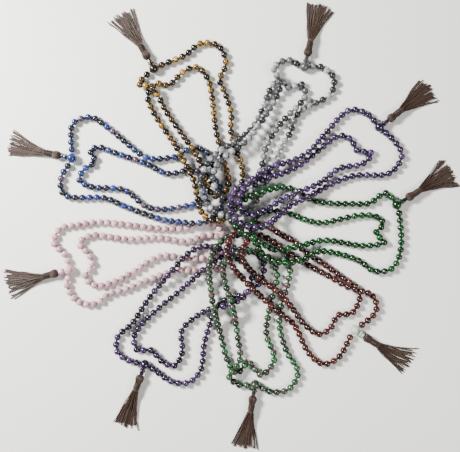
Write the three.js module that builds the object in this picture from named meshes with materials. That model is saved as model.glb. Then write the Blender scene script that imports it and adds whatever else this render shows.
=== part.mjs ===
// A set of nine knotted prayer bead loops (malas) laid out like a wheel, their loops piled over each
// other in the middle and their tassels pointing outwards. Each mala is one closed cord of 108 beads,
// wound twice round its own place in the wheel, with a guru bead, a tower bead and a tassel.
// Millimetres, +Z up, the malas lie on the plane z = 0.
import * as THREE from 'three';

// Driving dimensions
const BEADS = 108; // counting beads on one mala, besides the guru
const BEAD_RADIUS = 3.9;
const NECK_RADIUS = 1.1; // cord and knot between two beads
const POLE = 3.8; // centre of an end bead to its outer tip
const GURU_RADIUS = 5.5;
const GAP = 0.3; // running clearance between neighbouring pieces
const CLEARANCE = 2 * BEAD_RADIUS + 0.2; // least distance between two strands' centre lines
const STEPS = 240; // steps of a laid cord
const NEIGHBOURS = 5; // steps of the same cord that never count as crossing
const CURVE_STEPS = 20; // straight steps between two route points
const CLIMB = 1.2; // steepest slope of a strand that climbs over another
const SHORTEST_CLIMB = 15;
const SETTLE_ROUNDS = 6;

const TOWER = { length: 6, base: 3.4, tip: 2.3 };
const HEAD = { length: 17, bulb: 4.9, waist: 3.2, binding: 3.7, height: 5.2 };
const SKIRT = { length: 45, start: 3.5, spread: 15.5, thick: 7.4, thin: 2.2, rows: 4, threads: 7 };

const CORD_COLOUR = 0x46291d;

// The malas from the lowest in the pile to the highest. A route starts at the guru bead and gives the
// cord's line on the table; heading is the way the tassel points, in degrees from +X. The guru and tower
// beads are of the mala's own stone, except where guruColour says otherwise.
const MALAS = [
  {
    name: 'rose_quartz',
    colour: 0xe0b4b8,
    heading: -165,
    route: [
      [-175, -57], [-177, -77], [-166, -92], [-147, -95], [-132, -84], [-114, -79], [-85, -67],
      [-56, -58], [-24, -58], [-3, -47], [0, -29], [-20, -19], [-48, -26], [-78, -22],
      [-109, -24], [-152, -20], [-164, -29], [-153, -41], [-150, -54], [-158, -65], [-146, -75],
      [-122, -69], [-106, -60], [-74, -42], [-46, -45], [-22, -43], [-9, -31], [-8, -15],
      [-24, -5], [-48, -12], [-78, -12], [-111, -8], [-142, -5], [-164, -8], [-185, -12],
      [-192, -28], [-180, -41],
    ],
  },
  {
    name: 'dark_purple',
    colour: 0x35203f,
    heading: -110,
    route: [
      [-92, -161], [-79, -169], [-63, -180], [-44, -181], [-31, -168], [-26, -134], [-9, -94],
      [14, -85], [34, -71], [38, -50], [26, -37], [6, -36], [-19, -50], [-53, -80],
      [-75, -98], [-95, -117], [-104, -131], [-100, -146], [-86, -145], [-73, -158], [-60, -163],
      [-51, -148], [-52, -125], [-43, -114], [-19, -99], [4, -94], [22, -79], [24, -59],
      [10, -45], [-10, -34], [-30, -32], [-44, -39], [-60, -56], [-88, -89], [-107, -117],
      [-122, -131], [-122, -148], [-107, -158],
    ],
  },
  {
    name: 'ruby_zoisite',
    colour: 0x3f6b45,
    heading: -100,
    route: [
      [29, -183], [45, -191], [65, -189], [76, -170], [64, -148], [56, -121], [57, -100],
      [65, -72], [67, -50], [57, -34], [38, -22], [14, -19], [-8, -25], [-19, -44],
      [-21, -68], [-15, -103], [-9, -128], [-1, -158], [8, -171], [22, -159], [35, -173],
      [50, -156], [41, -127], [47, -90], [53, -62], [43, -43], [24, -37], [5, -40],
      [-6, -53], [-3, -75], [4, -96], [7, -112], [10, -132], [12, -157], [0, -172],
      [12, -184],
    ],
  },
  {
    name: 'red_jasper',
    colour: 0x74302a,
    guruColour: 0xc9d2c2,
    heading: -34,
    route: [
      [138, -123], [121, -153], [104, -161], [88, -149], [71, -117], [48, -98], [20, -71],
      [6, -55], [-2, -38], [3, -20], [20, -8], [41, -9], [58, -19], [72, -26],
      [82, -36], [103, -50], [125, -66], [144, -82], [135, -105], [120, -107], [111, -122],
      [99, -128], [86, -120], [59, -86], [25, -59], [15, -45], [17, -29], [31, -19],
      [49, -27], [65, -38], [86, -52], [111, -65], [128, -75], [158, -86], [162, -102],
      [150, -115],
    ],
  },
  {
    name: 'blue_sodalite',
    colour: 0x2f3f86,
    heading: 168,
    route: [
      [-172, 65], [-184, 44], [-181, 25], [-135, 21], [-116, 13], [-74, -2], [-53, -5],
      [-31, -6], [-12, 4], [-7, 23], [-16, 42], [-39, 52], [-67, 48], [-91, 59],
      [-128, 72], [-141, 77], [-152, 74], [-147, 61], [-159, 53], [-164, 41], [-152, 34],
      [-114, 30], [-92, 13], [-76, 9], [-50, 12], [-31, 18], [-21, 34], [-17, 55],
      [-24, 72], [-41, 76], [-57, 67], [-71, 65], [-83, 64], [-93, 67], [-132, 98],
      [-151, 110], [-171, 103], [-173, 83],
    ],
  },
  {
    name: 'tiger_eye',
    colour: 0x8a5a1c,
    heading: 120,
    route: [
      [-82, 163], [-48, 178], [-31, 191], [-11, 188], [-3, 169], [-10, 151], [-4, 137],
      [3, 112], [2, 98], [7, 76], [14, 59], [15, 42], [11, 23], [-1, 2],
      [-15, -4], [-29, 5], [-35, 25], [-39, 42], [-49, 61], [-56, 75], [-83, 116],
      [-89, 134], [-80, 147], [-66, 145], [-50, 160], [-35, 165], [-23, 152], [-16, 111],
      [-14, 95], [-5, 60], [0, 38], [-9, 22], [-20, 27], [-26, 43], [-32, 62],
      [-69, 117], [-82, 140], [-98, 146],
    ],
  },
  {
    name: 'black_vein_quartz',
    colour: 0xb9bcc0,
    heading: 77,
    route: [
      [83, 165], [99, 166], [115, 154], [112, 136], [76, 114], [67, 92], [57, 77],
      [45, 50], [36, 27], [21, 9], [2, 1], [-14, 6], [-25, 20], [-29, 38],
      [-20, 63], [15, 88], [29, 103], [37, 119], [46, 142], [55, 153], [66, 142],
      [79, 147], [84, 134], [56, 102], [41, 78], [37, 60], [29, 37], [16, 21],
      [1, 17], [-12, 27], [-17, 42], [-12, 57], [1, 70], [16, 80], [50, 128],
      [56, 144], [49, 163], [64, 173],
    ],
  },
  {
    name: 'green_aventurine',
    colour: 0x0f6a2c,
    heading: 32,
    route: [
      [184, 14], [188, -4], [188, -39], [179, -56], [160, -59], [144, -48], [121, -40],
      [98, -37], [80, -46], [58, -49], [39, -42], [29, -28], [24, -13], [29, 0],
      [41, 7], [64, 5], [86, -3], [102, -6], [118, -3], [141, 2], [162, 1],
      [170, -7], [161, -17], [171, -27], [149, -31], [104, -25], [72, -32], [48, -34],
      [30, -24], [13, -15], [2, -1], [10, 14], [37, 28], [64, 33], [95, 18],
      [139, 15], [155, 16], [172, 27],
    ],
  },
  {
    name: 'amethyst',
    colour: 0x6a4596,
    heading: 38,
    route: [
      [165, 99], [179, 87], [190, 69], [177, 49], [134, 45], [81, 20], [67, 13],
      [56, 4], [42, -8], [25, -11], [8, -3], [1, 12], [8, 30], [25, 38],
      [46, 44], [74, 55], [109, 82], [122, 90], [135, 85], [140, 74], [157, 71],
      [147, 59], [121, 54], [100, 38], [72, 26], [54, 17], [40, 8], [23, 2],
      [11, 15], [17, 32], [31, 45], [46, 54], [59, 59], [74, 64], [88, 72],
      [104, 90], [133, 118], [153, 113],
    ],
  },
];

// Points at even steps along a closed polyline.
function evenSteps(points, count) {
  const reach = [0];
  for (let i = 0; i < points.length; i += 1) {
    const next = points[(i + 1) % points.length];
    reach.push(reach[i] + points[i].distanceTo(next));
  }
  const total = reach[points.length];
  const even = [];
  let i = 0;
  for (let k = 0; k < count; k += 1) {
    const along = (total * k) / count;
    while (reach[i + 1] < along) i += 1;
    const share = (along - reach[i]) / (reach[i + 1] - reach[i]);
    even.push(points[i].clone().lerp(points[(i + 1) % points.length], share));
  }
  return even;
}

// The cord's line on the table.
function planLine(route) {
  const corners = route.map(([x, y]) => new THREE.Vector3(x, y, 0));
  const curve = new THREE.CatmullRomCurve3(corners, true, 'centripetal');
  const points = curve.getPoints(route.length * CURVE_STEPS).slice(0, -1);
  return evenSteps(points, STEPS);
}

// How high a centre line has to be at point to rest on a strand whose centre line passes at other.
function restOn(point, other) {
  const away = Math.hypot(point.x - other.x, point.y - other.y);
  if (away >= CLEARANCE) return 0;
  return other.z + Math.sqrt(CLEARANCE ** 2 - away ** 2);
}

// Spreads each height that a strand must reach into a smooth hump with gentle sides.
function smoothHumps(needed, stepLength) {
  return needed.map((_, i) => {
    let height = BEAD_RADIUS;
    needed.forEach((peak, k) => {
      const rise = peak - BEAD_RADIUS;
      const reach = Math.max((Math.PI * rise) / (2 * CLIMB), SHORTEST_CLIMB);
      const apart = Math.abs(i - k);
      const away = Math.min(apart, STEPS - apart) * stepLength;
      if (away >= reach) return;
      const hump = BEAD_RADIUS + rise * 0.5 * (1 + Math.cos((Math.PI * away) / reach));
      height = Math.max(height, hump);
    });
    return height;
  });
}

// Lays a cord down over the strands that already lie there, and over its own earlier stretches.
function layCord(route, lower) {
  const line = planLine(route);
  const stepLength = line[0].distanceTo(line[1]);
  const needed = line.map((point) => {
    return lower.reduce((high, other) => Math.max(high, restOn(point, other)), BEAD_RADIUS);
  });
  for (let round = 0; round < SETTLE_ROUNDS; round += 1) {
    const heights = smoothHumps(needed, stepLength);
    line.forEach((point, i) => {
      point.z = heights[i];
    });
    for (let i = NEIGHBOURS + 1; i < STEPS; i += 1) {
      for (let k = 0; k < i - NEIGHBOURS; k += 1) {
        if (STEPS - (i - k) <= NEIGHBOURS) continue;
        needed[i] = Math.max(needed[i], restOn(line[i], line[k]));
      }
    }
  }
  const heights = smoothHumps(needed, stepLength);
  line.forEach((point, i) => {
    point.z = heights[i];
  });
  return line;
}

// Reads places along a laid cord by their distance from the guru bead.
function measureCord(line) {
  const reach = [0];
  for (let i = 0; i < line.length; i += 1) {
    reach.push(reach[i] + line[i].distanceTo(line[(i + 1) % line.length]));
  }
  const total = reach[line.length];
  function at(distance) {
    const along = ((distance % total) + total) % total;
    let i = 0;
    while (reach[i + 1] < along) i += 1;
    const share = (along - reach[i]) / (reach[i + 1] - reach[i]);
    return line[i].clone().lerp(line[(i + 1) % line.length], share);
  }
  return { total, at };
}

// Corners of a ring round the cord. The first corner is underneath.
function cordRing(cord, distance, radius, sides) {
  const centre = cord.at(distance);
  const ahead = cord.at(distance + BEAD_RADIUS).sub(cord.at(distance - BEAD_RADIUS)).normalize();
  const side = new THREE.Vector3().crossVectors(ahead, new THREE.Vector3(0, 0, 1)).normalize();
  const up = new THREE.Vector3().crossVectors(side, ahead);
  const ring = [];
  for (let k = 0; k < sides; k += 1) {
    const turn = Math.PI + (2 * Math.PI * k) / sides;
    const corner = centre.clone();
    corner.addScaledVector(up, radius * Math.cos(turn));
    corner.addScaledVector(side, radius * Math.sin(turn));
    ring.push(corner);
  }
  return ring;
}

function solidFrom(corners, faces) {
  const geometry = new THREE.BufferGeometry();
  const flat = corners.flatMap((corner) => [corner.x, corner.y, corner.z]);
  geometry.setAttribute('position', new THREE.Float32BufferAttribute(flat, 3));
  geometry.setIndex(faces.flat());
  geometry.computeVertexNormals();
  return geometry;
}

// A run of beads held together by the knots between them: a six-sided ring round each bead's belly
// and a three-sided ring round each knot.
function beadRun(cord, first, pitch, count) {
  const corners = [cord.at(first - POLE)];
  const faces = [];
  for (let bead = 0; bead < count; bead += 1) {
    const belly = corners.length;
    corners.push(...cordRing(cord, first + bead * pitch, BEAD_RADIUS, 6));
    if (bead === 0) {
      for (let k = 0; k < 6; k += 1) faces.push([0, belly + ((k + 1) % 6), belly + k]);
    }
    if (bead === count - 1) {
      const tip = corners.push(cord.at(first + bead * pitch + POLE)) - 1;
      for (let k = 0; k < 6; k += 1) faces.push([belly + k, belly + ((k + 1) % 6), tip]);
      break;
    }
    const neck = corners.length;
    corners.push(...cordRing(cord, first + (bead + 0.5) * pitch, NECK_RADIUS, 3));
    const after = corners.length;
    for (let k = 0; k < 3; k += 1) {
      const next = (k + 1) % 3;
      const [a, b, c] = [2 * k, 2 * k + 1, (2 * k + 2) % 6];
      faces.push([belly + a, belly + b, neck + k]);
      faces.push([belly + b, neck + next, neck + k]);
      faces.push([belly + b, belly + c, neck + next]);
      faces.push([neck + k, after + b, after + a]);
      faces.push([neck + k, neck + next, after + b]);
      faces.push([neck + next, after + c, after + b]);
    }
  }
  return solidFrom(corners, faces);
}

// A turned piece whose axis lies along +X.
function turned(profile, sides) {
  const points = profile.map(([along, radius]) => new THREE.Vector2(radius, along));
  return new THREE.LatheGeometry(points, sides).rotateZ(-Math.PI / 2);
}

function towerShape() {
  return turned([[0, 0], [0, TOWER.base], [TOWER.length, TOWER.tip], [TOWER.length, 0]], 10);
}

// The looped knot at the top of a tassel and the wound binding below it.
function headShape() {
  const { length, bulb, waist, binding } = HEAD;
  const profile = [
    [0, 0], [0, 1.8], [0.2 * length, bulb], [0.4 * length, bulb * 0.9], [0.5 * length, waist],
    [0.56 * length, binding], [0.94 * length, binding], [length, waist], [length, 0],
  ];
  return turned(profile, 8);
}

// The fan of threads, flat underneath, with a ridge for each bundle of threads and uneven tips.
function skirtShape() {
  const { length, start, spread, thick, thin, rows, threads } = SKIRT;
  const columns = 2 * threads;
  const corners = [];
  for (let row = 0; row <= rows; row += 1) {
    const share = row / rows;
    const half = start + (spread - start) * share ** 1.3;
    const height = thick + (thin - thick) * share ** 0.8;
    for (let column = 0; column <= columns; column += 1) {
      const across = (2 * column) / columns - 1;
      const ridge = column % 2;
      const bow = 1 - 0.12 * across ** 2;
      const tip = row === rows ? 2.2 * ridge + 1.4 * Math.sin(3 * column) - 3.5 : 0;
      const x = length * share * bow + tip;
      const crown = height * (1 - 0.35 * across ** 2) * (ridge ? 1 : 0.72);
      corners.push(new THREE.Vector3(x, half * across, crown), new THREE.Vector3(x, half * across, 0));
    }
  }
  const faces = [];
  const top = (row, column) => 2 * (row * (columns + 1) + column);
  const quad = (a, b, c, d) => faces.push([a, b, c], [a, c, d]);
  for (let row = 0; row < rows; row += 1) {
    for (let column = 0; column < columns; column += 1) {
      const [a, b] = [top(row, column), top(row + 1, column)];
      const [c, d] = [top(row + 1, column + 1), top(row, column + 1)];
      quad(a, b, c, d);
      quad(d + 1, c + 1, b + 1, a + 1);
    }
    quad(top(row, 0), top(row, 0) + 1, top(row + 1, 0) + 1, top(row + 1, 0));
    const [e, f] = [top(row, columns), top(row + 1, columns)];
    quad(f, f + 1, e + 1, e);
  }
  for (let column = 0; column < columns; column += 1) {
    const [a, b] = [top(0, column), top(0, column + 1)];
    quad(b, b + 1, a + 1, a);
    const [c, d] = [top(rows, column), top(rows, column + 1)];
    quad(c, c + 1, d + 1, d);
  }
  return solidFrom(corners, faces);
}

function piece(name, geometry, colour, roughness) {
  const material = new THREE.MeshStandardMaterial({ color: colour, roughness, metalness: 0 });
  const mesh = new THREE.Mesh(geometry, material);
  mesh.name = name;
  return mesh;
}

// Guru bead, tower bead and tassel, built along +X from the guru's centre and turned to their heading.
function guruAndTassel(mala, place) {
  const end = new THREE.Group();
  end.position.set(place.x, place.y, 0);
  end.rotation.z = THREE.MathUtils.degToRad(mala.heading);

  const stone = mala.guruColour ?? mala.colour;
  const guruShape = new THREE.IcosahedronGeometry(GURU_RADIUS, 1);
  const guru = piece(`${mala.name}_guru_bead`, guruShape, stone, 0.25);
  guru.position.z = GURU_RADIUS;

  const tower = piece(`${mala.name}_tower_bead`, towerShape(), stone, 0.25);
  tower.position.set(GURU_RADIUS + GAP, 0, GURU_RADIUS);

  const head = piece(`${mala.name}_tassel_head`, headShape(), CORD_COLOUR, 0.6);
  head.position.set(tower.position.x + TOWER.length + GAP, 0, HEAD.height);

  const skirt = piece(`${mala.name}_tassel_skirt`, skirtShape(), CORD_COLOUR, 0.6);
  skirt.position.x = head.position.x + HEAD.length + GAP;

  end.add(guru, tower, head, skirt);
  return end;
}

const set = new THREE.Group();
const laid = [];
for (const mala of MALAS) {
  const line = layCord(mala.route, laid);
  laid.push(...line);
  const cord = measureCord(line);
  const free = cord.total - 2 * (GURU_RADIUS + GAP);
  const pitch = free / BEADS;
  const first = GURU_RADIUS + GAP + pitch / 2;
  const half = BEADS / 2;
  const loop = new THREE.Group();
  const left = beadRun(cord, first, pitch, half);
  const right = beadRun(cord, first + half * pitch, pitch, half);
  loop.add(piece(`${mala.name}_first_strand`, left, mala.colour, 0.2));
  loop.add(piece(`${mala.name}_second_strand`, right, mala.colour, 0.2));
  loop.add(guruAndTassel(mala, line[0]));
  set.add(loop);
}

// The origin is on the table, in the middle of the whole set.
const middle = new THREE.Box3().setFromObject(set, true).getCenter(new THREE.Vector3());
set.position.set(-middle.x, -middle.y, 0);

export default set;
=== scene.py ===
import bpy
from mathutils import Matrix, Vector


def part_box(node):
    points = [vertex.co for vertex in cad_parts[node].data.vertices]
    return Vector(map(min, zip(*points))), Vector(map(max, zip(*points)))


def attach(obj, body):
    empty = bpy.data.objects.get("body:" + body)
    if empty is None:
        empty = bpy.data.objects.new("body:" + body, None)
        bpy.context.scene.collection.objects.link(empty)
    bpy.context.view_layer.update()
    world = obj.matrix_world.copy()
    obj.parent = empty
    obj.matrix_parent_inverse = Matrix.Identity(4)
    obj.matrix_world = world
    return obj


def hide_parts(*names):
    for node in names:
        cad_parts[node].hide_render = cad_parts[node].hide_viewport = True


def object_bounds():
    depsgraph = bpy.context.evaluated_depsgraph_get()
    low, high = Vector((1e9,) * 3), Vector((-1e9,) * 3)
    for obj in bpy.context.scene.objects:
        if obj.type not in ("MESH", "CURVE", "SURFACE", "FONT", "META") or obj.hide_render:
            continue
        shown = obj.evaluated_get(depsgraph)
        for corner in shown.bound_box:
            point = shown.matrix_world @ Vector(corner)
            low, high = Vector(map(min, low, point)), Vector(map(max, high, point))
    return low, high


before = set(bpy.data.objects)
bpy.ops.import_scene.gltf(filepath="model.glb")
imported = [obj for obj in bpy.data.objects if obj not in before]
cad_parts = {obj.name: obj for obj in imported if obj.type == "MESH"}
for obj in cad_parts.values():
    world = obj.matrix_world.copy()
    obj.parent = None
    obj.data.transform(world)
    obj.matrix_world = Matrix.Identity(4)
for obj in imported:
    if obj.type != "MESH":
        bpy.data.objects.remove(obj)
cad_box = [list(corner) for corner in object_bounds()]

import math
import random

import bmesh
import bpy
import numpy as np
from mathutils import Matrix, Vector

MM = 0.001

# The malas from the lowest in the pile to the highest, with how each tassel's threads lie:
# half width of the fan and sideways curl at the tips in mm, how many threads stray from the
# fan, and how many pairs are uncut loops.
MALAS = {
    "rose_quartz": {"fan": 17.0, "curl": -3.0, "strays": 3, "loops": 1},
    "dark_purple": {"fan": 13.0, "curl": 1.5, "strays": 2, "loops": 0},
    "ruby_zoisite": {"fan": 13.5, "curl": -1.0, "strays": 3, "loops": 1},
    "red_jasper": {"fan": 14.5, "curl": 5.0, "strays": 4, "loops": 1},
    "blue_sodalite": {"fan": 14.5, "curl": -3.0, "strays": 2, "loops": 2},
    "tiger_eye": {"fan": 16.5, "curl": 2.0, "strays": 1, "loops": 0},
    "black_vein_quartz": {"fan": 14.0, "curl": -1.5, "strays": 3, "loops": 1},
    "green_aventurine": {"fan": 16.0, "curl": -2.0, "strays": 6, "loops": 3},
    "amethyst": {"fan": 15.0, "curl": -2.0, "strays": 2, "loops": 1},
}

PALE_ENDS = ("red_jasper",)  # malas whose guru and tower beads are pale, and not of their own stone

CAMERA_HEIGHT = 0.65
FRAME_MARGIN = 1.022  # width of the picture over the width of the set, at floor level
FLOOR_REACH = 3.0
FLOOR_DROP = 0.0002

# Bead and cord sizes
BEAD_RADIUS = 3.9 * MM
BEAD_HALF_LENGTH = 3.72 * MM
BORE_RADIUS = 0.6 * MM
BEAD_SIDES = 24
BEAD_ARCS = 11
CORD_DIAMETER = 1.0 * MM
KNOT_RADIUS = 0.95 * MM

# The guru bead, tower bead and tassel, in mm: distances along +X from the guru bead's centre, and sizes
GURU_RADIUS = 5.5
TOWER_RIM = [(5.85, 0.8), (5.82, 2.6), (5.95, 3.1), (6.3, 3.37), (6.8, 3.4), (7.25, 3.25), (7.5, 2.95)]
TOWER_NECK = [(8.2, 2.72), (9.4, 2.56), (10.6, 2.45), (11.3, 2.32), (11.65, 2.05), (11.78, 1.6), (11.8, 0.8)]
HEAD_HEIGHT = 5.2
HEAD_START = 12.4
HEAD_RIBS = 22
HEAD_CORD = 0.60
BULB_RADIUS = 4.75
BINDING_START = 21.6
BINDING_END = 28.6
BINDING_RADIUS = 3.7
BINDING_WIRE = 0.40
SKIRT_START = 28.8
SKIRT_LENGTH = 45.6
BUNDLE_RADIUS = 2.8
THREAD_RADIUS = 0.6
THREAD_STEP = 0.5
THREADS = 36
LEAVING = 0.10  # part of the skirt's length in which the threads leave the binding
SETTLING = 0.40  # part in which they come down to the floor
EDGE_SHORTER = 0.05  # part of its length by which an outermost thread falls short of the middle ones
KNOT_WIRE = 0.28
TOWER_KNOTS = ((5.50, 6.05, 0.75), (11.75, 12.75, 1.05))  # start, end and radius, before and after the tower


# ---------------------------------------------------------------- camera, lights, floor

def make_stage():
    scene = bpy.context.scene
    camera = bpy.data.objects.new("camera", bpy.data.cameras.new("camera"))
    low, high = (Vector(corner) for corner in cad_box)
    camera.location = ((low.x + high.x) / 2, (low.y + high.y) / 2, CAMERA_HEIGHT)
    camera.data.lens = camera.data.sensor_width * CAMERA_HEIGHT / ((high.x - low.x) * FRAME_MARGIN)
    scene.collection.objects.link(camera)
    scene.camera = camera

    floor_mesh = bpy.data.meshes.new("floor")
    corners = [(x * FLOOR_REACH, y * FLOOR_REACH, 0) for x, y in ((-1, -1), (1, -1), (1, 1), (-1, 1))]
    floor_mesh.from_pydata(corners, [], [(0, 1, 2, 3)])
    floor = bpy.data.objects.new("floor", floor_mesh)
    floor.location.z = -FLOOR_DROP
    scene.collection.objects.link(floor)
    floor.data.materials.append(floor_material())

    world = bpy.data.worlds.new("studio")
    world.use_nodes = True
    sky = world.node_tree.nodes["Background"]
    sky.inputs["Color"].default_value = (0.90, 0.96, 1.0, 1)
    sky.inputs["Strength"].default_value = 0.18
    scene.world = world
    add_light("window", (-0.85, 0.42, 0.80), 0.26, 56, (1.0, 0.99, 0.96))
    add_light("room", (0.75, -0.45, 1.1), 0.6, 13, (1.0, 0.97, 0.92))


def add_light(name, place, size, power, colour):
    light = bpy.data.lights.new(name, "AREA")
    light.size = size
    light.energy = power
    light.color = colour
    lamp = bpy.data.objects.new(name, light)
    lamp.location = place
    lamp.rotation_euler = (-Vector(place)).to_track_quat("-Z", "Y").to_euler()
    bpy.context.scene.collection.objects.link(lamp)


# ---------------------------------------------------------------- materials

class Shader:
    """A Principled material whose node graph is built by short calls."""

    def __init__(self, name, **values):
        self.material = bpy.data.materials.new(name)
        self.material.use_nodes = True
        self.tree = self.material.node_tree
        self.surface = self.tree.nodes["Principled BSDF"]
        for socket, value in values.items():
            self.surface.inputs[socket.replace("_", " ")].default_value = value

    def add(self, kind, **settings):
        node = self.tree.nodes.new(kind)
        for key, value in settings.items():
            setattr(node, key, value)
        return node

    def put(self, value, socket):
        if isinstance(value, bpy.types.NodeSocket):
            self.tree.links.new(value, socket)
        else:
            socket.default_value = value

    def attribute(self, name, output):
        return self.add("ShaderNodeAttribute", attribute_name=name).outputs[output]

    def noise(self, place, scale, detail=3.0, roughness=0.5, distortion=0.0):
        node = self.add("ShaderNodeTexNoise")
        self.put(place, node.inputs["Vector"])
        node.inputs["Scale"].default_value = scale
        node.inputs["Detail"].default_value = detail
        node.inputs["Roughness"].default_value = roughness
        node.inputs["Distortion"].default_value = distortion
        return node.outputs["Fac"]

    def ramp(self, factor, *stops):
        node = self.add("ShaderNodeValToRGB")
        self.put(factor, node.inputs["Fac"])
        elements = node.color_ramp.elements
        while len(elements) < len(stops):
            elements.new(0.5)
        for element, (position, colour) in zip(elements, stops):
            element.position = position
            element.color = (*colour, 1) if len(colour) == 3 else (colour[0],) * 3 + (1,)
        return node.outputs["Color"]

    def mix(self, factor, a, b, blend="MIX"):
        node = self.add("ShaderNodeMix", data_type="RGBA", blend_type=blend)
        self.put(factor, node.inputs[0])
        self.put(a if isinstance(a, bpy.types.NodeSocket) else (*a, 1), node.inputs[6])
        self.put(b if isinstance(b, bpy.types.NodeSocket) else (*b, 1), node.inputs[7])
        return node.outputs[2]

    def math(self, operation, a, b):
        node = self.add("ShaderNodeMath", operation=operation)
        self.put(a, node.inputs[0])
        self.put(b, node.inputs[1])
        return node.outputs[0]

    def bump(self, height, distance, strength=1.0):
        node = self.add("ShaderNodeBump")
        self.put(height, node.inputs["Height"])
        node.inputs["Distance"].default_value = distance
        node.inputs["Strength"].default_value = strength
        self.tree.links.new(node.outputs["Normal"], self.surface.inputs["Normal"])

    def colour(self, value):
        self.put(value, self.surface.inputs["Base Color"])

    def roughness(self, factor, low, high):
        node = self.add("ShaderNodeMapRange")
        self.put(factor, node.inputs["Value"])
        node.inputs["To Min"].default_value = low
        node.inputs["To Max"].default_value = high
        self.tree.links.new(node.outputs["Result"], self.surface.inputs["Roughness"])


def floor_material():
    s = Shader("pale_floor", Roughness=0.55)
    place = s.add("ShaderNodeTexCoord").outputs["Object"]
    s.colour(s.ramp(s.noise(place, 3.0), (0.3, (0.83, 0.83, 0.805)), (0.7, (0.87, 0.87, 0.845))))
    return s.material


def stone(name, roughness=0.1, **values):
    """A polished stone with a shader graph that knows the place in each bead and each bead's own tone."""
    s = Shader(name, IOR=1.55, Specular_IOR_Level=0.5, **values)
    s.place = s.attribute("bead_place", "Vector")
    s.tone = s.attribute("bead_tone", "Fac")
    s.roughness(s.noise(s.place, 1.4, 4.0, 0.7), roughness * 0.5, roughness * 1.6)
    s.bump(s.noise(s.place, 2.5, 4.0), 0.00002, 0.3)
    return s


def rose_quartz():
    s = stone("rose_quartz", 0.16, Subsurface_Weight=0.5, Subsurface_Scale=0.003)
    s.surface.inputs["Subsurface Radius"].default_value = (1.0, 0.55, 0.5)
    cloud = s.ramp(
        s.noise(s.place, 0.30, 5.0, 0.62, 0.8),
        (0.32, (0.42, 0.235, 0.265)),
        (0.50, (0.60, 0.375, 0.410)),
        (0.70, (0.82, 0.630, 0.660)),
    )
    bead = s.ramp(s.tone, (0.0, (0.62, 0.57, 0.60)), (0.5, (0.82, 0.80, 0.82)), (1.0, (1.0, 1.02, 1.02)))
    s.colour(s.mix(1.0, cloud, bead, "MULTIPLY"))
    return s.material


def dark_purple():
    s = stone("dark_purple", Coat_Weight=0.35)
    cloud = s.ramp(
        s.noise(s.place, 0.28, 4.0, 0.6, 0.9),
        (0.38, (0.007, 0.003, 0.011)),
        (0.58, (0.022, 0.010, 0.040)),
        (0.76, (0.100, 0.045, 0.170)),
    )
    bead = s.ramp(s.tone, (0.0, (0.4, 0.35, 0.4)), (0.6, (1.0, 1.0, 1.0)), (1.0, (2.6, 2.3, 2.6)))
    s.colour(s.mix(1.0, cloud, bead, "MULTIPLY"))
    return s.material


def ruby_zoisite():
    s = stone("ruby_zoisite", Coat_Weight=0.3)
    green = s.ramp(
        s.noise(s.place, 0.34, 5.0, 0.6, 0.5),
        (0.30, (0.004, 0.006, 0.005)),
        (0.46, (0.010, 0.045, 0.018)),
        (0.62, (0.020, 0.170, 0.050)),
        (0.82, (0.110, 0.330, 0.140)),
    )
    dark = s.mix(s.ramp(s.tone, (0.30, (0.85,)), (0.60, (0.0,))), green, (0.010, 0.014, 0.012))
    shifted = s.math("ADD", s.noise(s.place, 0.22, 3.0, 0.5, 1.0), s.math("MULTIPLY", s.tone, 0.10))
    ruby = s.ramp(shifted, (0.60, (0.0,)), (0.66, (1.0,)))
    s.colour(s.mix(ruby, dark, (0.085, 0.020, 0.040)))
    return s.material


def red_jasper():
    s = stone("red_jasper", Coat_Weight=0.3)
    mottle = s.ramp(
        s.noise(s.place, 0.55, 5.0, 0.65, 0.3),
        (0.32, (0.024, 0.006, 0.006)),
        (0.52, (0.070, 0.014, 0.012)),
        (0.74, (0.150, 0.036, 0.028)),
    )
    bead = s.ramp(s.tone, (0.0, (0.32, 0.32, 0.34)), (0.6, (0.62, 0.64, 0.66)), (1.0, (1.0, 0.95, 0.9)))
    s.colour(s.mix(1.0, mottle, bead, "MULTIPLY"))
    return s.material


def blue_sodalite():
    s = stone("blue_sodalite", Coat_Weight=0.35)
    bead = s.ramp(
        s.tone,
        (0.00, (0.004, 0.006, 0.014)),
        (0.44, (0.006, 0.009, 0.028)),
        (0.62, (0.010, 0.019, 0.095)),
        (0.78, (0.014, 0.032, 0.180)),
        (0.84, (0.030, 0.066, 0.270)),
        (0.90, (0.040, 0.026, 0.060)),
        (1.00, (0.090, 0.050, 0.085)),
    )
    cloud = s.ramp(s.noise(s.place, 0.35, 4.0, 0.6, 0.6), (0.3, (0.35,)), (0.7, (1.6,)))
    blue = s.mix(1.0, bead, cloud, "MULTIPLY")
    vein = s.ramp(s.noise(s.place, 0.5, 2.0, 0.4, 2.2), (0.485, (0.0,)), (0.5, (0.35,)), (0.515, (0.0,)))
    s.colour(s.mix(vein, blue, (0.30, 0.31, 0.42)))
    return s.material


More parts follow.
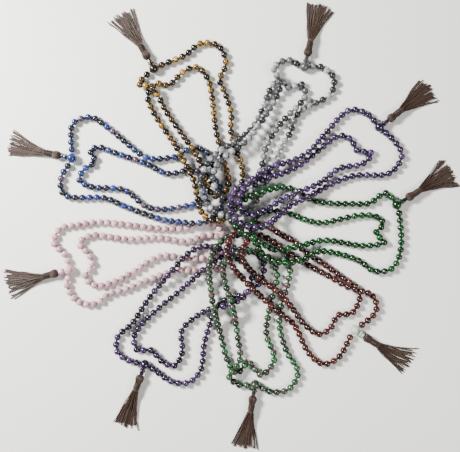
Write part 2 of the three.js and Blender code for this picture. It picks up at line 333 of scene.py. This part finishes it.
def tiger_eye():
    """Gold bands in dark brown, crossed by stretched fibre streaks that are partly fibre grain and partly
    painted sheen standing in for the silky shimmer. Most beads are dark, and some show mostly gold.
    """
    s = stone("tiger_eye", Coat_Weight=0.35)
    wave = s.add("ShaderNodeTexWave", wave_type="BANDS", bands_direction="X")
    s.put(s.place, wave.inputs["Vector"])
    wave.inputs["Scale"].default_value = 0.11
    wave.inputs["Distortion"].default_value = 3.0
    wave.inputs["Detail"].default_value = 4.0
    wave.inputs["Detail Scale"].default_value = 0.7
    # Stretched fibre noise: its lighter streaks are partly fibre grain and partly painted sheen for the
    # stone's silky shimmer, added into the colour with the bands.
    fibre_sheen_stretch = s.add("ShaderNodeMapping")
    s.put(s.place, fibre_sheen_stretch.inputs["Vector"])
    fibre_sheen_stretch.inputs["Scale"].default_value = (6.0, 0.5, 0.5)
    fibre_and_sheen = s.noise(fibre_sheen_stretch.outputs["Vector"], 0.6, 3.0, 0.6)
    bands_and_sheen = s.math("ADD", s.math("MULTIPLY", wave.outputs["Fac"], 0.30), s.math("MULTIPLY", fibre_and_sheen, 0.28))
    shifted = s.math("ADD", bands_and_sheen, s.math("MULTIPLY", s.tone, 0.50))
    s.colour(
        s.ramp(
            shifted,
            (0.34, (0.006, 0.004, 0.002)),
            (0.56, (0.024, 0.013, 0.004)),
            (0.70, (0.085, 0.042, 0.006)),
            (0.84, (0.290, 0.150, 0.014)),
            (0.98, (0.560, 0.340, 0.050)),
        )
    )
    return s.material


def black_vein_quartz():
    s = stone("black_vein_quartz", 0.12, Subsurface_Weight=0.2, Subsurface_Scale=0.002, Coat_Weight=0.2)
    cloud = s.ramp(
        s.noise(s.place, 0.4, 5.0, 0.6, 0.4),
        (0.28, (0.11, 0.115, 0.125)),
        (0.50, (0.27, 0.280, 0.295)),
        (0.72, (0.62, 0.635, 0.650)),
    )
    bead = s.ramp(s.tone, (0.28, (0.07, 0.07, 0.08)), (0.55, (0.55, 0.55, 0.56)), (0.90, (1.15, 1.15, 1.15)))
    pale = s.mix(1.0, cloud, bead, "MULTIPLY")
    edges = s.add("ShaderNodeTexVoronoi", feature="DISTANCE_TO_EDGE")
    s.put(s.place, edges.inputs["Vector"])
    edges.inputs["Scale"].default_value = 0.3
    crack = s.ramp(edges.outputs["Distance"], (0.020, (0.95,)), (0.060, (0.0,)))
    patches = s.ramp(s.noise(s.place, 0.25, 2.0), (0.40, (0.0,)), (0.50, (1.0,)))
    veins = s.math("MULTIPLY", crack, patches)
    spots = s.ramp(s.noise(s.place, 0.8, 3.0, 0.6), (0.60, (0.0,)), (0.66, (0.9,)))
    s.colour(s.mix(s.math("MAXIMUM", veins, spots), pale, (0.008, 0.009, 0.011)))
    return s.material


def green_aventurine():
    s = stone("green_aventurine", 0.08, Coat_Weight=0.35)
    cloud = s.ramp(
        s.noise(s.place, 0.35, 4.0, 0.6, 0.5),
        (0.30, (0.0008, 0.014, 0.003)),
        (0.55, (0.0015, 0.060, 0.008)),
        (0.78, (0.004, 0.180, 0.026)),
    )
    bead = s.ramp(s.tone, (0.0, (0.30, 0.30, 0.30)), (0.6, (0.58, 0.56, 0.58)), (1.0, (1.05, 1.0, 1.0)))
    s.colour(s.mix(1.0, cloud, bead, "MULTIPLY"))
    return s.material


def amethyst():
    s = stone("amethyst", 0.09, Coat_Weight=0.35)
    cloud = s.ramp(
        s.noise(s.place, 0.3, 4.0, 0.6, 0.9),
        (0.32, (0.012, 0.005, 0.024)),
        (0.54, (0.038, 0.016, 0.075)),
        (0.78, (0.175, 0.105, 0.270)),
    )
    bead = s.ramp(s.tone, (0.0, (0.28, 0.26, 0.30)), (0.6, (0.68, 0.66, 0.70)), (1.0, (1.4, 1.3, 1.2)))
    s.colour(s.mix(1.0, cloud, bead, "MULTIPLY"))
    return s.material


def guru_stone():
    s = stone("guru_stone", 0.14, Subsurface_Weight=0.5, Subsurface_Scale=0.004)
    s.colour(
        s.ramp(
            s.noise(s.place, 0.22, 4.0, 0.6, 0.8),
            (0.30, (0.30, 0.38, 0.30)),
            (0.52, (0.48, 0.56, 0.46)),
            (0.76, (0.72, 0.78, 0.68)),
        )
    )
    return s.material


def cord_material():
    """Brown waxed cord. thread_place turns with each thread's plies, so that its fibres follow the twist."""
    s = Shader("brown_cord", Sheen_Weight=0.08, Specular_IOR_Level=0.35, Sheen_Roughness=0.35)
    s.surface.inputs["Sheen Tint"].default_value = (0.55, 0.38, 0.30, 1)
    place = s.attribute("thread_place", "Vector")
    tone = s.attribute("thread_tone", "Fac")
    fibres = s.noise(place, 1.1, 4.0, 0.7, 0.4)
    brown = s.ramp(
        fibres,
        (0.30, (0.009, 0.005, 0.0035)),
        (0.55, (0.034, 0.018, 0.012)),
        (0.80, (0.130, 0.078, 0.056)),
    )
    s.colour(s.mix(1.0, brown, s.ramp(tone, (0.0, (0.6,)), (1.0, (1.7,))), "MULTIPLY"))
    s.roughness(fibres, 0.36, 0.62)
    s.bump(fibres, 0.00012, 0.6)
    return s.material


STONES = {
    "rose_quartz": rose_quartz,
    "dark_purple": dark_purple,
    "ruby_zoisite": ruby_zoisite,
    "red_jasper": red_jasper,
    "blue_sodalite": blue_sodalite,
    "tiger_eye": tiger_eye,
    "black_vein_quartz": black_vein_quartz,
    "green_aventurine": green_aventurine,
    "amethyst": amethyst,
}


# ---------------------------------------------------------------- meshes from many small shapes

class Build:
    """Collects small shapes and makes one object of them, with a place and a tone for its material."""

    def __init__(self, place_name, tone_name):
        self.names = (place_name, tone_name)
        self.corners = []
        self.faces = []
        self.places = []
        self.tones = []
        self.count = 0

    def add(self, corners, faces, places, tone):
        self.corners.append(corners)
        self.faces += [[corner + self.count for corner in face] for face in faces]
        self.places.append(places)
        self.tones.append(np.full(len(corners), tone))
        self.count += len(corners)

    def finish(self, name, material):
        corners = np.concatenate(self.corners)
        mesh = bpy.data.meshes.new(name)
        mesh.from_pydata(corners.tolist(), [], self.faces)
        mesh.polygons.foreach_set("use_smooth", [True] * len(self.faces))
        place = mesh.attributes.new(self.names[0], "FLOAT_VECTOR", "POINT")
        place.data.foreach_set("vector", np.concatenate(self.places).astype(np.float32).ravel())
        tone = mesh.attributes.new(self.names[1], "FLOAT", "POINT")
        tone.data.foreach_set("value", np.concatenate(self.tones).astype(np.float32))
        mesh.materials.append(material)
        piece = bpy.data.objects.new(name, mesh)
        bpy.context.scene.collection.objects.link(piece)
        return piece


def turned_rings(profile, sides):
    """Corners and four-sided faces of a closed profile of (along, radius) points turned round +X."""
    angles = np.arange(sides) * 2 * math.pi / sides
    rows = [np.stack([np.full(sides, a), r * np.cos(angles), r * np.sin(angles)], 1) for a, r in profile]
    corners = np.concatenate(rows)
    faces = []
    for i in range(len(profile)):
        j = (i + 1) % len(profile)
        for k in range(sides):
            m = (k + 1) % sides
            faces.append((i * sides + k, i * sides + m, j * sides + m, j * sides + k))
    return corners, np.array(faces)


def bead_shape(radius, half_length, bore, sides, arcs):
    """A drilled round bead along +X: a slightly flattened ball with a bore and a worn mouth at each end."""
    mouth = math.asin(1.55 * bore / radius)
    profile = []
    for k in range(arcs):
        angle = mouth + (math.pi - 2 * mouth) * k / (arcs - 1)
        profile.append((-half_length * math.cos(angle), radius * math.sin(angle)))
    inside = half_length * 0.93
    profile += [(inside, bore), (-inside, bore)]
    corners, faces = turned_rings(profile, sides)
    return corners, faces[:, ::-1]


def axes_along(direction):
    """A rotation that turns +X to direction."""
    return np.array(Vector(direction).to_track_quat("X", "Z").to_matrix())


def random_turn(rng):
    angles = [rng.uniform(0, 2 * math.pi) for _ in range(3)]
    about_x, about_y, about_z = (Matrix.Rotation(angle, 3, axis) for angle, axis in zip(angles, "XYZ"))
    return np.array(about_x @ about_y @ about_z)


# ---------------------------------------------------------------- reading the beads from the CAD

def strand_rings(node):
    """The centres of a CAD strand's rings in order: tip, bead, knot, bead ... bead, tip."""
    shape = bmesh.new()
    shape.from_mesh(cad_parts[node].data)
    bmesh.ops.remove_doubles(shape, verts=shape.verts, dist=0.00001)
    shape.verts.ensure_lookup_table()

    def layers(start, most):
        found = [[start]]
        seen = {start}
        while len(found) < most:
            ring = []
            for vert in found[-1]:
                for edge in vert.link_edges:
                    other = edge.other_vert(vert)
                    if other not in seen:
                        seen.add(other)
                        ring.append(other)
            if not ring:
                break
            found.append(ring)
        return found

    for vert in shape.verts:
        if len(vert.link_edges) == 6 and [len(ring) for ring in layers(vert, 4)] == [1, 6, 3, 6]:
            rings = layers(vert, len(shape.verts))
            break
    centres = [sum((v.co for v in ring), Vector()) / len(ring) for ring in rings]
    shape.free()
    return centres


def mala_line(name):
    """Bead centres and knot centres of a mala, in order from its guru bead round to its guru bead."""
    low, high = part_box(f"{name}_guru_bead")
    guru = (low + high) / 2
    first = strand_rings(f"{name}_first_strand")
    second = strand_rings(f"{name}_second_strand")
    if (first[0] - guru).length > (first[-1] - guru).length:
        first.reverse()
    if (second[0] - guru).length < (second[-1] - guru).length:
        second.reverse()
    middle = (first[-1] + second[0]) / 2
    return guru, first[1:-1], middle, second[1:-1]


# ---------------------------------------------------------------- pieces of a mala

def bead_run(name, rings, ends, material, rng):
    """The beads of one strand. rings alternates beads and knots, and ends are the points before and after."""
    shape, faces = bead_shape(BEAD_RADIUS, BEAD_HALF_LENGTH, BORE_RADIUS, BEAD_SIDES, BEAD_ARCS)
    build = Build("bead_place", "bead_tone")
    line = [ends[0], *rings, ends[1]]
    for i in range(1, len(line) - 1, 2):
        axes = axes_along(line[i + 1] - line[i - 1])
        swell = 1 + rng.uniform(-0.012, 0.0)
        corners = (shape * swell) @ axes.T + np.array(line[i])
        places = (shape / MM) @ random_turn(rng).T + [rng.uniform(-500, 500) for _ in range(3)]
        build.add(corners, faces.tolist(), places, rng.random())
    return build.finish(name, material)


def knots(name, places, material, rng):
    """A knot in each gap between two beads: two turns of cord pulled tight, tilted a little by chance."""
    around, across = 16, 8
    u, v = np.meshgrid(np.arange(around), np.arange(across), indexing="ij")
    u = u.ravel() * 2 * math.pi / around
    v = v.ravel() * 2 * math.pi / across
    thick = 0.40 * MM * (1 + 0.14 * np.cos(5 * u + 2 * v))
    ring = KNOT_RADIUS + thick * np.cos(v)
    shape = np.stack([0.85 * thick * np.sin(v), ring * np.cos(u), ring * np.sin(u)], 1)
    faces = []
    for i in range(around):
        for j in range(across):
            a, b = i * across, ((i + 1) % around) * across
            k = (j + 1) % across
            faces.append((a + j, b + j, b + k, a + k))
    build = Build("thread_place", "thread_tone")
    for centre, direction in places:
        tilt = Vector(direction).normalized() + Vector([rng.uniform(-0.2, 0.2) for _ in range(3)])
        corners = shape @ axes_along(tilt).T + np.array(centre)
        build.add(corners, faces, shape / MM + rng.uniform(-500, 500), rng.random())
    return build.finish(name, material)


def stringing_cord(name, points, material):
    curve = bpy.data.curves.new(name, "CURVE")
    curve.dimensions = "3D"
    curve.bevel_depth = CORD_DIAMETER / 2
    curve.bevel_resolution = 2
    spline = curve.splines.new("POLY")
    spline.points.add(len(points) - 1)
    for spot, point in zip(spline.points, points):
        spot.co = (*point, 1)
    curve.materials.append(material)
    piece = bpy.data.objects.new(name, curve)
    bpy.context.scene.collection.objects.link(piece)
    return piece


def thread_tube(build, path, radius, plies, pitch, tone, rng, sides=10):
    """A twisted cord along path, in metres: its section has a lobe for each ply and turns as it goes."""
    path = np.array(path, float)
    count = len(path)
    forward = np.gradient(path, axis=0)
    forward /= np.linalg.norm(forward, axis=1)[:, None]
    side, over = carried_frame(forward)
    reach = np.concatenate([[0], np.cumsum(np.linalg.norm(np.diff(path, axis=0), axis=1))]) / MM
    start = rng.uniform(0, 2 * math.pi)
    angles = np.arange(sides) * 2 * math.pi / sides
    rows = []
    places = []
    for i in range(count):
        phase = start + 2 * math.pi * reach[i] / pitch
        lobe = 1 - 0.22 * (0.5 - 0.5 * np.cos(plies * (angles - phase)))
        ring = radius * lobe * (0.6 if i in (0, count - 1) else 1.0)
        aside = np.outer(ring * np.cos(angles), side[i])
        rows.append(path[i] + aside + np.outer(ring * np.sin(angles), over[i]))
        twist = angles - phase
        places.append(np.stack([np.full(sides, reach[i] * 0.3), np.cos(twist), np.sin(twist)], 1))
    rows.append(path[[0, -1]])
    places.append(np.zeros((2, 3)))
    faces = []
    for i in range(count - 1):
        for k in range(sides):
            m = (k + 1) % sides
            faces.append((i * sides + k, i * sides + m, (i + 1) * sides + m, (i + 1) * sides + k))
    tips = count * sides
    last = tips - sides
    for k in range(sides):
        m = (k + 1) % sides
        faces.append((tips, m, k))
        faces.append((tips + 1, last + k, last + m))
    build.add(np.concatenate(rows), faces, np.concatenate(places) + rng.uniform(-500, 500), tone)


def carried_frame(forward):
    """Two directions square to a path at each of its points, carried along it without a twist."""
    side = np.zeros_like(forward)
    guess = np.array([0.0, 0.0, 1.0]) if abs(forward[0][2]) < 0.9 else np.array([1.0, 0.0, 0.0])
    for i, ahead in enumerate(forward):
        guess = guess - ahead * np.dot(guess, ahead)
        guess /= np.linalg.norm(guess)
        side[i] = guess
    return side, np.cross(forward, side)


def turned_piece(name, profile, sides, material, rng):
    """A closed profile of (along, radius) points in mm turned round the tassel's axis."""
    corners, faces = turned_rings(np.array(profile) * MM, sides)
    build = Build("bead_place", "bead_tone")
    build.add(corners, faces[:, ::-1].tolist(), corners / MM + rng.uniform(-500, 500), rng.random())
    return build.finish(name, material)


def guru_bead(name, material, rng):
    corners, faces = bead_shape(GURU_RADIUS * MM, GURU_RADIUS * MM * 0.985, 0.9 * MM, 40, 21)
    build = Build("bead_place", "bead_tone")
    build.add(corners, faces.tolist(), corners / MM + rng.uniform(-500, 500), rng.random())
    return build.finish(name, material)


def tower_bead(name, material, rng):
    """The small tower that sits on the guru bead, with rounded rims and a drilled middle."""
    return turned_piece(name, TOWER_RIM + TOWER_NECK, 36, material, rng)


def head_radius(x):
    """How far the looped cords of a tassel's head stand from its axis, x mm from the guru bead's centre."""
    t = min(1, (x - HEAD_START) / (BINDING_START - HEAD_START))
    round_top = math.sqrt(max(0.0, 1 - (1 - min(1, t / 0.42)) ** 2))
    shoulder = 1 - 0.34 * max(0.0, (t - 0.42) / 0.58) ** 1.7
    return max(0.7, (BULB_RADIUS - HEAD_CORD) * round_top * shoulder)


def tassel_head(name, material, rng):
    """Cords gathered over the tassel's loop: ribs side by side over a solid core, down to the binding."""
    build = Build("thread_place", "thread_tone")
    reach = BINDING_START + 1.0 - HEAD_START
    steps = [HEAD_START + reach * (k / 30) ** 1.5 for k in range(31)]
    for rib in range(HEAD_RIBS):
        angle = 2 * math.pi * (rib + rng.uniform(-0.15, 0.15)) / HEAD_RIBS
        lean = rng.uniform(0.15, 0.40)
        lift = rng.uniform(-0.12, 0.18)
        path = []
        for x in steps:
            turn = angle + lean * (x - HEAD_START) / reach
            radius = head_radius(x) + lift * min(1, x - HEAD_START)
            path.append((x * MM, radius * math.cos(turn) * MM, radius * math.sin(turn) * MM))
        thread_tube(build, path, HEAD_CORD * MM, 2, 3.4, rng.random(), rng)
    core = [(x, max(0.3, head_radius(x) - 0.2)) for x in steps]
    corners, faces = turned_rings(np.array(core + [(steps[-1], 0.1), (steps[0], 0.1)]) * MM, 24)
    build.add(corners, faces[:, ::-1].tolist(), corners / MM, 0.1)
    return build.finish(name, material)


def binding(name, material, rng):
    """The whipping round the tassel's neck, laid turn by turn, and the knots at both ends of the tower."""
    build = Build("thread_place", "thread_tone")
    wire = BINDING_WIRE
    span = BINDING_END - BINDING_START - 2 * wire
    turns = span / (1.9 * wire)
    count = int(turns * 28)
    path = []
    for k in range(count + 1):
        angle = 2 * math.pi * turns * k / count
        radius = BINDING_RADIUS - wire + 0.10 * math.sin(0.43 * angle)
        x = BINDING_START + wire + span * k / count
        path.append((x * MM, radius * math.cos(angle) * MM, radius * math.sin(angle) * MM))
    thread_tube(build, path, wire * MM, 2, 2.6, 0.3, rng, sides=8)
    core_radius = BINDING_RADIUS - 1.3 * wire
    add_core(build, BINDING_START, BINDING_END, 0.3, core_radius, 24)
    for start, end, radius in TOWER_KNOTS:
        steps = 44
        steps_per_turn = 20
        path = [(start * MM, 0, 0)]
        for k in range(steps + 1):
            angle = 2 * math.pi * k / steps_per_turn
            x = start + KNOT_WIRE + (end - start - 2 * KNOT_WIRE) * k / steps
            path.append((x * MM, radius * math.cos(angle) * MM, radius * math.sin(angle) * MM))
        path.append((end * MM, 0, 0))
        thread_tube(build, path, KNOT_WIRE * MM, 2, 2.6, 0.5, rng, sides=8)
        add_core(build, start, end, 0.1, radius, 16)
    return build.finish(name, material)


def add_core(build, start, end, bore, radius, sides):
    """A plain drilled cylinder under wound cord, in mm along the tassel's axis."""
    outline = [(start, bore), (start, radius), (end, radius), (end, bore)]
    corners, faces = turned_rings(np.array(outline) * MM, sides)
    build.add(corners, faces[:, ::-1].tolist(), corners / MM, 0.1)


def bundle_spots(count, radius):
    """Places for count threads in a round bundle, in a sunflower pattern, from one side to the other."""
    golden = math.pi * (3 - math.sqrt(5))
    spots = []
    for k in range(count):
        r = radius * math.sqrt((k + 0.5) / count)
        spots.append((r * math.cos(k * golden), r * math.sin(k * golden)))
    return sorted(spots)


def thread_path(spot, share, height, look, stray, rng):
    """One thread of the skirt from the binding to its tip on the floor, in mm in the tassel's frame."""
    waver = rng.uniform(0.10, 0.45)
    wave = rng.uniform(18, 34)
    phase = rng.uniform(0, 2 * math.pi)
    bow = rng.uniform(-0.6, 0.6)
    length = SKIRT_LENGTH * rng.uniform(0.88, 1.0)
    count = int(length / THREAD_STEP)
    path = []
    for k in range(-8, count + 1):
        x = k * THREAD_STEP
        t = max(0.0, x / SKIRT_LENGTH)
        opened = t ** 1.03
        y = spot[0] * (1 - opened) + share * look["fan"] * opened
        y += look["curl"] * t ** 2.2 + stray * t ** 1.6 + bow * math.sin(math.pi * min(1, t))
        y += waver * math.sin(2 * math.pi * x / wave + phase) * min(1, 3 * t)
        half_width = BUNDLE_RADIUS + (look["fan"] - BUNDLE_RADIUS) * opened
        pile = THREADS * (2 * THREAD_RADIUS) ** 2 * 0.95 / (2 * half_width)
        settled = 1 - (1 - min(1, t / SETTLING)) ** 2
        low = (HEAD_HEIGHT - BUNDLE_RADIUS - THREAD_RADIUS) * (1 - settled)
        lying = low + THREAD_RADIUS + height * max(0.0, pile - 2 * THREAD_RADIUS)
        leaving = min(1, t / LEAVING)
        z = (HEAD_HEIGHT + spot[1]) * (1 - leaving) + lying * leaving
        shorter = EDGE_SHORTER * share ** 2 * x
        path.append((SKIRT_START + x - shorter, y, max(z, THREAD_RADIUS)))
    return path


def skirt(name, look, material, rng):
    """The tassel's loose threads, fanned on the floor. Some stray, and a few are uncut loops."""
    build = Build("thread_place", "thread_tone")
    spots = bundle_spots(THREADS, BUNDLE_RADIUS)
    outer = list(range(0, 7)) + list(range(THREADS - 7, THREADS))
    straying = set(rng.sample(outer, look["strays"]))
    looped = set(rng.sample(range(4, THREADS - 5, 3), look["loops"]))
    paths = []
    for k, spot in enumerate(spots):
        share = 2 * (k + 0.5) / THREADS - 1
        chord = math.sqrt(max(0.3, BUNDLE_RADIUS ** 2 - spot[0] ** 2))
        height = min(1.0, max(0.0, 0.5 + 0.5 * spot[1] / chord))
        stray = rng.uniform(2.5, 6.5) * math.copysign(1, share) if k in straying else rng.gauss(0, 0.7)
        paths.append(thread_path(spot, share, height, look, stray, rng))
    k = 0
    while k < THREADS:
        path = paths[k]
        if k in looped:
            back = paths[k + 1][: len(path)][::-1]
            path = path[: len(back)]
            path = path + turn_back(path[-1], path[-2], back[0]) + back
            k += 1
        thread_tube(build, np.array(path) * MM, THREAD_RADIUS * MM, 2, 3.8, rng.random(), rng)
        k += 1
    return build.finish(name, material)


def turn_back(tip, before, other):
    """The round end of an uncut loop, from tip to the start of the thread beside it."""
    ahead = (Vector(tip) - Vector(before)).normalized()
    middle = (Vector(tip) + Vector(other)) / 2
    half = (Vector(tip) - Vector(other)) / 2
    reach = max(1.2, half.length)
    points = []
    for k in range(1, 10):
        angle = math.pi * k / 10
        points.append(tuple(middle + half * math.cos(angle) + ahead * reach * math.sin(angle)))
    return points


# ---------------------------------------------------------------- a mala

def tassel_place(name, guru):
    """The matrix that puts a tassel drawn along +X from the guru bead's centre where the CAD has it."""
    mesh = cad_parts[f"{name}_tassel_skirt"].data
    middle = sum((v.co for v in mesh.vertices), Vector()) / len(mesh.vertices)
    heading = math.atan2(middle.y - guru.y, middle.x - guru.x)
    return Matrix.Translation((guru.x, guru.y, 0)) @ Matrix.Rotation(heading, 4, "Z")


def knot_places(rings):
    return [(rings[i], rings[i + 1] - rings[i - 1]) for i in range(1, len(rings) - 1, 2)]


def string_points(line):
    guru, first, middle, second = line
    return [guru, *first, middle, *second, guru]


def make_mala(name, look, line, string, stone_stuff, cord_stuff, pale_stone):
    rng = random.Random(name)
    guru, first, middle, second = line
    ring = string_points(line)
    end_stuff = pale_stone if name in PALE_ENDS else stone_stuff

    beads = [
        bead_run(f"{name}_beads_first", first, (guru, middle), stone_stuff, rng),
        bead_run(f"{name}_beads_second", second, (middle, guru), stone_stuff, rng),
    ]
    knot_piece = knots(f"{name}_knots", knot_places(ring[1:-1]), cord_stuff, rng)
    guru_piece = guru_bead(f"{name}_guru", end_stuff, rng)
    tower = tower_bead(f"{name}_tower", end_stuff, rng)
    loops = tassel_head(f"{name}_tassel_loops", cord_stuff, rng)
    whipping = binding(f"{name}_tassel_binding", cord_stuff, rng)
    threads = skirt(f"{name}_tassel_threads", look, cord_stuff, rng)

    place = tassel_place(name, guru)
    for piece in (guru_piece, tower):
        piece.data.transform(place @ Matrix.Translation((0, 0, guru.z)))
    for piece in (loops, whipping):
        piece.data.transform(place @ Matrix.Translation((0, 0, HEAD_HEIGHT * MM)))
    threads.data.transform(place)

    for piece in (*beads, knot_piece, guru_piece, string):
        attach(piece, f"{name}_mala")
    for piece in (tower, loops, whipping, threads):
        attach(piece, f"{name}_tassel")
    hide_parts(f"{name}_first_strand")
    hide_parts(f"{name}_second_strand")
    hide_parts(f"{name}_guru_bead")
    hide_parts(f"{name}_tower_bead")
    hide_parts(f"{name}_tassel_head")
    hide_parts(f"{name}_tassel_skirt")


def main():
    make_stage()
    cord_stuff = cord_material()
    pale_stone = guru_stone()
    lines = {name: mala_line(name) for name in MALAS}
    strings = {}
    for name, line in lines.items():
        strings[name] = stringing_cord(f"{name}_string", string_points(line), cord_stuff)
    for name, look in MALAS.items():
        make_mala(name, look, lines[name], strings[name], STONES[name](), cord_stuff, pale_stone)


main()
